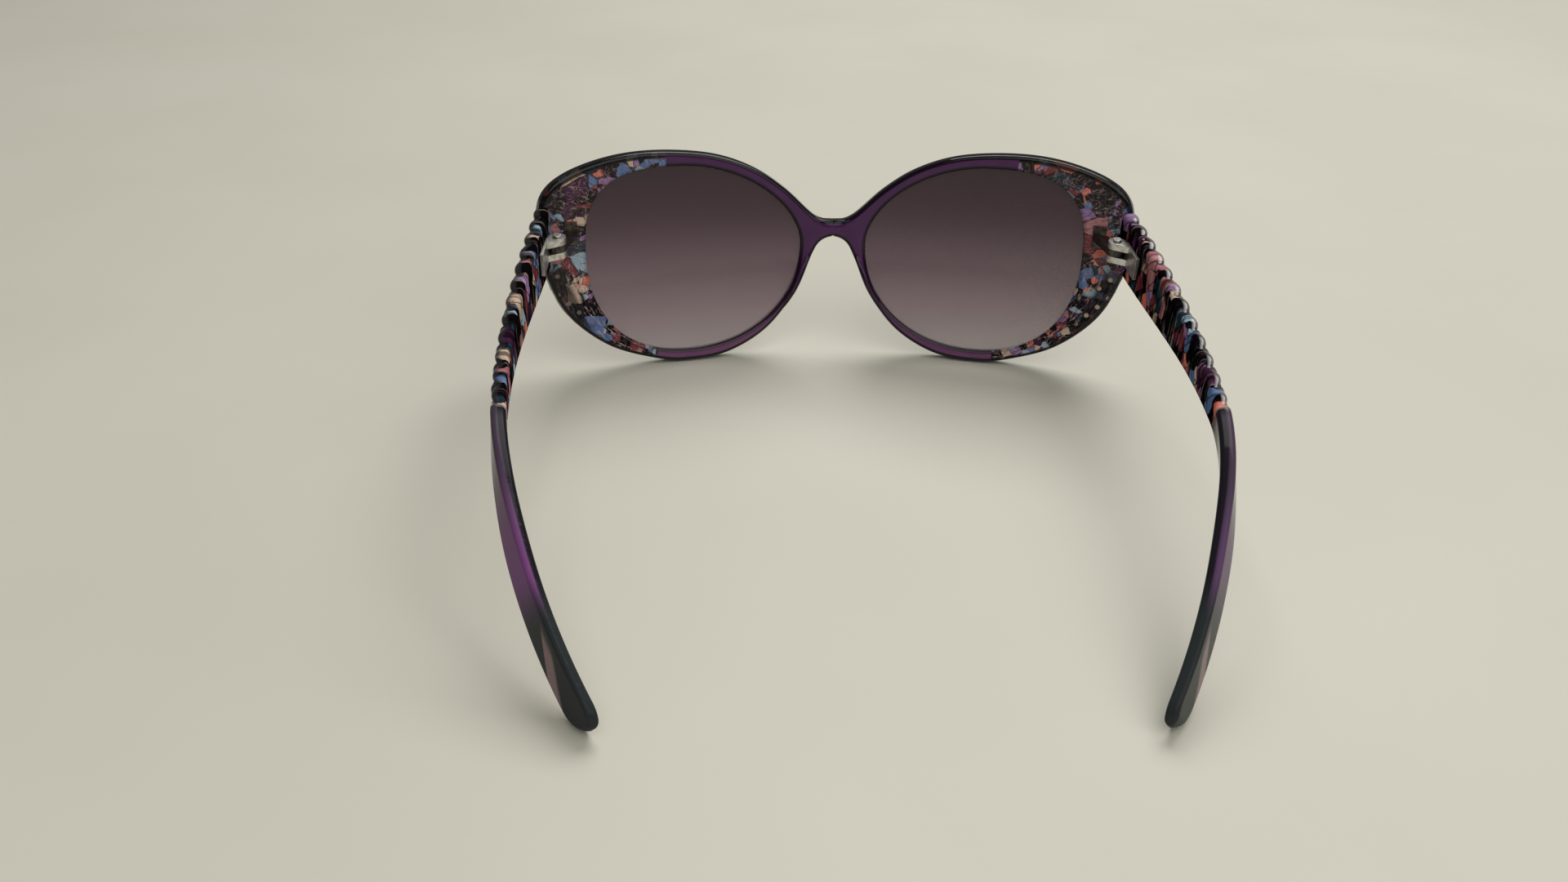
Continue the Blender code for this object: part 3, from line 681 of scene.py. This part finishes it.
def bar_finish(name, print_shift, plain_colour, bead_painted_tone, bead_share):
    material, tree, shader = start_finish("printed_bar_" + name, 0.08)
    strip = carried(tree, "strip")
    valley = carried(tree, "valley", "Fac")
    s, rise, across = add_node(tree, "SeparateXYZ", in_0=strip).outputs

    # the same print, drawn out along the bar, with another stretch of it on each side
    wander = add_node(tree, "TexNoise", Vector=strip, Scale=0.3, Detail=2.0).outputs["Color"]
    moved = vector(tree, "ADD", strip, vector(tree, "MULTIPLY", wander, (3, 3, 0)))
    flat = vector(tree, "MULTIPLY", moved, (0.3, 0.22, 0))
    colour = mosaic(tree, vector(tree, "ADD", flat, (0, 0, print_shift)))

    # seen through the moulded diamonds, the print breaks into upright streaks with dark joints
    one_way = add_node(tree, "CombineXYZ", in_0=s, in_1=times(tree, rise, 0.12)).outputs[0]
    streak = noise(tree, one_way, 0.75, 3.0)
    colour = mix(tree, times(tree, fade(tree, streak, 0.52, 0.66), 0.55), colour, paint(14, 12, 16))
    colour = mix(tree, times(tree, fade(tree, streak, 0.45, 0.32), 0.35), colour, paint(220, 200, 190))
    v = maths(tree, "DIVIDE", rise, hinge_tall / 2)
    turns = maths(tree, "DIVIDE", s, bump_pitch)
    grid = fade(tree, crossed_waves(tree, turns, v), 0.16, 0.05)
    colour = mix(tree, times(tree, grid, 0.7), colour, paint(20, 14, 18))

    # painted light and shade: the clear outer beads are drawn pale where light passes through them, on the
    # right temple, and dark on the left, and their valleys are darkened with painted shade
    outside = fade(tree, across, -0.2, 0.9)
    colour = mix(tree, times(tree, outside, bead_share), colour, bead_painted_tone)
    # painted shade in the quilting's valleys
    colour = mix(tree, times(tree, fade(tree, valley, 0.35, 0.75), 0.75), colour, paint(16, 12, 16))

    # plain purple behind the quilting, darker at its edges and almost black at the tip
    plain = mix(tree, fade(tree, s, 82, 106), paint(74, 66, 76), plain_colour)
    cloud = noise(tree, strip, 0.07, 2.0)
    plain = mix(tree, times(tree, fade(tree, cloud, 0.35, 0.7), 0.4), plain, paint(92, 66, 96))
    on_quilt = add_node(tree, "SeparateXYZ", in_0=carried(tree, "quilt_place")).outputs
    up = maths(tree, "ABSOLUTE", on_quilt[1])
    rim = times(tree, fade(tree, up, 0.8, 0.95), fade(tree, across, 0.5, -0.1))
    plain = mix(tree, maths(tree, "MAXIMUM", rim, fade(tree, across, -0.5, -1.0)), plain, paint(40, 36, 44))
    plain = mix(tree, fade(tree, s, 106, 116), plain, paint(52, 56, 57))
    slant = plus(tree, s, times(tree, rise, 1.6))
    patch = times(tree, fade(tree, slant, 118.5, 119.2), fade(tree, slant, 124.5, 122.5))
    patch = times(tree, patch, fade(tree, rise, 2.4, 0.5))
    plain = mix(tree, times(tree, patch, 0.6), plain, paint(176, 146, 150))
    colour = mix(tree, fade(tree, s, bump_end - 0.5, bump_end + 1.5), colour, plain)
    tree.links.new(colour, shader.inputs["Base Color"])

    shine = times(tree, outside, fade(tree, s, bump_end + 2, bump_end - 2))
    shine = spread(tree, shine, (0, 1), (0.0, 0.8))
    back_shine = times(tree, fade(tree, s, bump_end, bump_end + 4), 0.07)
    shine = maths(tree, "MAXIMUM", shine, back_shine)
    tree.links.new(shine, shader.inputs["Specular IOR Level"])
    polish = noise(tree, strip, 0.8, 3.0)
    tree.links.new(spread(tree, polish, (0, 1), (0.05, 0.15)), shader.inputs["Roughness"])
    bump = add_node(tree, "Bump", Strength=0.1, Distance=0.0003, Height=streak)
    tree.links.new(bump.outputs[0], shader.inputs["Normal"])
    return material


bar_looks = {
    # the bead tones are painted light and shade: dark for the left temple, pale for the lit right one
    "left": bar_finish("left", 0.0, paint(126, 78, 132), paint(40, 38, 42), 0.8),
    "right": bar_finish("right", 7.0, paint(98, 72, 106), paint(150, 142, 142), 0.6),
}
fine, coarse = 0.4, 1.1  # distance between sections along the quilting and behind it
rounded = [end_round * share for share in (0.0, 0.1, 0.3, 0.6, 1.0)]
quilted_steps = [end_round + fine * i for i in range(1, int((bump_end + 1 - end_round) / fine))]
plain_count = int((temple_long - tip_round_long - bump_end) / coarse)
plain_steps = [bump_end + 1 + coarse * i for i in range(plain_count)]
tip_turns = [math.pi / 2 * i / tip_round_steps for i in range(tip_round_steps + 1)]
tip_steps = [temple_long - tip_round_long * (1 - math.sin(turn)) for turn in tip_turns]
block_steps = [-butt_gap - step for step in rounded]
block_steps += [-butt_gap - end_round - fine * i for i in range(1, int(end_block_long / fine))]
bar_steps = rounded + quilted_steps + plain_steps + tip_steps
for name, side in (("left", 1), ("right", -1)):
    temple = new_piece("temple_bar_" + name, quilted_bar(side, bar_steps), smooth_angle=55)
    quilt(temple, bump_pitch, MM, bar_looks[name])
    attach(temple, name + "_temple")
    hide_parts("temple_" + name)
    block = new_piece("end_block_" + name, quilted_bar(side, block_steps), smooth_angle=55)
    quilt(block, bump_pitch, MM, bar_looks[name])
    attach(block, "front")

# ---------------------------------------------------------------------------------------------
# The hinges. Each is a pair of nickel-plated leaves sunk in the plastic: a tongue on the front
# and two outer knuckles on the temple, with a slotted screw down through all three.
# ---------------------------------------------------------------------------------------------


def nickel_finish(name, light, dark):
    material, tree, shader = start_finish(name, 0.25, metallic=1.0)
    where = add_node(tree, "TexCoord").outputs["Object"]
    rub = noise(tree, where, 900.0, 4.0)
    colour = mix(tree, fade(tree, rub, 0.35, 0.75), light, dark)
    tree.links.new(colour, shader.inputs["Base Color"])
    tree.links.new(spread(tree, rub, (0, 1), (0.24, 0.45)), shader.inputs["Roughness"])
    bump = add_node(tree, "Bump", Strength=0.12, Distance=0.00005, Height=rub)
    tree.links.new(bump.outputs[0], shader.inputs["Normal"])
    return material


bright_nickel = nickel_finish("bright_nickel", paint(220, 219, 214), paint(172, 168, 160))
# painted shade: the front leaves get a darker nickel, standing for the shade they sit in between the
# temple's knuckles
shaded_nickel = nickel_finish("shaded_nickel", paint(96, 90, 84), paint(60, 56, 54))
leaf_edge, screw_edge = 0.16 * MM, 0.06 * MM
leaf_in = 3.6 * MM  # how much of the front leaf stands clear of the plastic, inwards of the screw
for name in ("left", "right"):
    temple = name + "_temple"
    rides = {"front_hinge_leaf": "front", "temple_hinge_leaf": temple, "hinge_screw": temple}
    for kind, body in rides.items():
        node = frame["nodes"][kind + "_" + name]
        bm = bmesh.new()
        bm.from_mesh(node.data)
        bmesh.ops.remove_doubles(bm, verts=bm.verts, dist=0.000001)
        bmesh.ops.dissolve_limit(bm, angle_limit=math.radians(1), verts=bm.verts, edges=bm.edges)
        if kind == "front_hinge_leaf":
            side = 1 if name == "left" else -1
            cut = Vector((side * (left_screw.x - leaf_in), 0, 0))
            parts = bm.verts[:] + bm.edges[:] + bm.faces[:]
            bmesh.ops.bisect_plane(bm, geom=parts, plane_co=cut, plane_no=(-side, 0, 0), clear_outer=True)
            bmesh.ops.holes_fill(bm, edges=[edge for edge in bm.edges if edge.is_boundary])
        piece = new_piece("nickel_" + kind + "_" + name, bm, smooth_angle=30)
        edges = piece.modifiers.new("rubbed_edges", "BEVEL")
        edges.width = screw_edge if kind == "hinge_screw" else leaf_edge
        edges.segments = 2
        edges.limit_method = "ANGLE"
        edges.angle_limit = math.radians(40)
        settle(piece)
        piece.data.materials.clear()
        piece.data.materials.append(shaded_nickel if kind == "front_hinge_leaf" else bright_nickel)
        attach(piece, body)
        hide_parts(node.name)

# ---------------------------------------------------------------------------------------------
# The table, the light and the camera. The pair stands open on a pale table, with a wide soft
# light behind and above it and a weaker one over the camera.
# ---------------------------------------------------------------------------------------------
table_radius, table_gap = 4.0, 0.02 * MM
bm = bmesh.new()
bmesh.ops.create_circle(bm, cap_ends=True, radius=table_radius, segments=96)
table = new_piece("table", bm)
for vertex in table.data.vertices:
    vertex.co.z = -table_gap
material, tree, shader = start_finish("table_laminate", 0.55)
where = add_node(tree, "TexCoord").outputs["Object"]
grain = noise(tree, where, 8.0, 3.0)
laminate = mix(tree, fade(tree, grain, 0.3, 0.7), paint(213, 209, 195), paint(217, 213, 200))
tree.links.new(laminate, shader.inputs["Base Color"])
table.data.materials.append(material)

scene = bpy.context.scene
scene.view_settings.view_transform = "Standard"
world = bpy.data.worlds.new("room")
scene.world = world
world.use_nodes = True
world.node_tree.nodes["Background"].inputs[0].default_value = (0.9, 0.88, 0.84, 1)
world.node_tree.nodes["Background"].inputs[1].default_value = 0.14


def add_light(name, place, aim, size, power, colour):
    lamp = bpy.data.lights.new(name, "AREA")
    lamp.shape = "RECTANGLE"
    lamp.size, lamp.size_y = size
    lamp.energy = power
    lamp.color = colour
    light = bpy.data.objects.new(name, lamp)
    light.location = place
    light.rotation_euler = (Vector(aim) - Vector(place)).to_track_quat("-Z", "Y").to_euler()
    scene.collection.objects.link(light)


add_light("window", (-0.3, -0.8, 1.1), (0, 0, 0.02), (1.1, 0.8), 12.0, (1, 1, 0.97))
add_light("room_bounce", (-0.3, 0.65, 0.85), (0, 0.15, 0.0), (1.5, 1.2), 7.2, (1, 1, 0.96))

camera_place = Vector((22.7, 279.5 + rim_foot_back, 140.0)) * MM
focal_length = 28.5
pitch, yaw, roll = math.radians(30.32), math.radians(-2.33), math.radians(1.30)
ahead = Vector((math.sin(yaw) * math.cos(pitch), -math.cos(yaw) * math.cos(pitch), -math.sin(pitch)))
level = ahead.cross(Vector((0, 0, 1))).normalized()
upright = level.cross(ahead)
right = level * math.cos(roll) + upright * math.sin(roll)
above = upright * math.cos(roll) - level * math.sin(roll)
camera_data = bpy.data.cameras.new("camera")
camera_data.sensor_width = 36
camera_data.lens = focal_length
camera_data.clip_start = 0.01
camera = bpy.data.objects.new("camera", camera_data)
turn = Matrix((right, above, -ahead)).transposed().to_4x4()
camera.matrix_world = Matrix.Translation(camera_place) @ turn
scene.collection.objects.link(camera)
scene.camera = camera
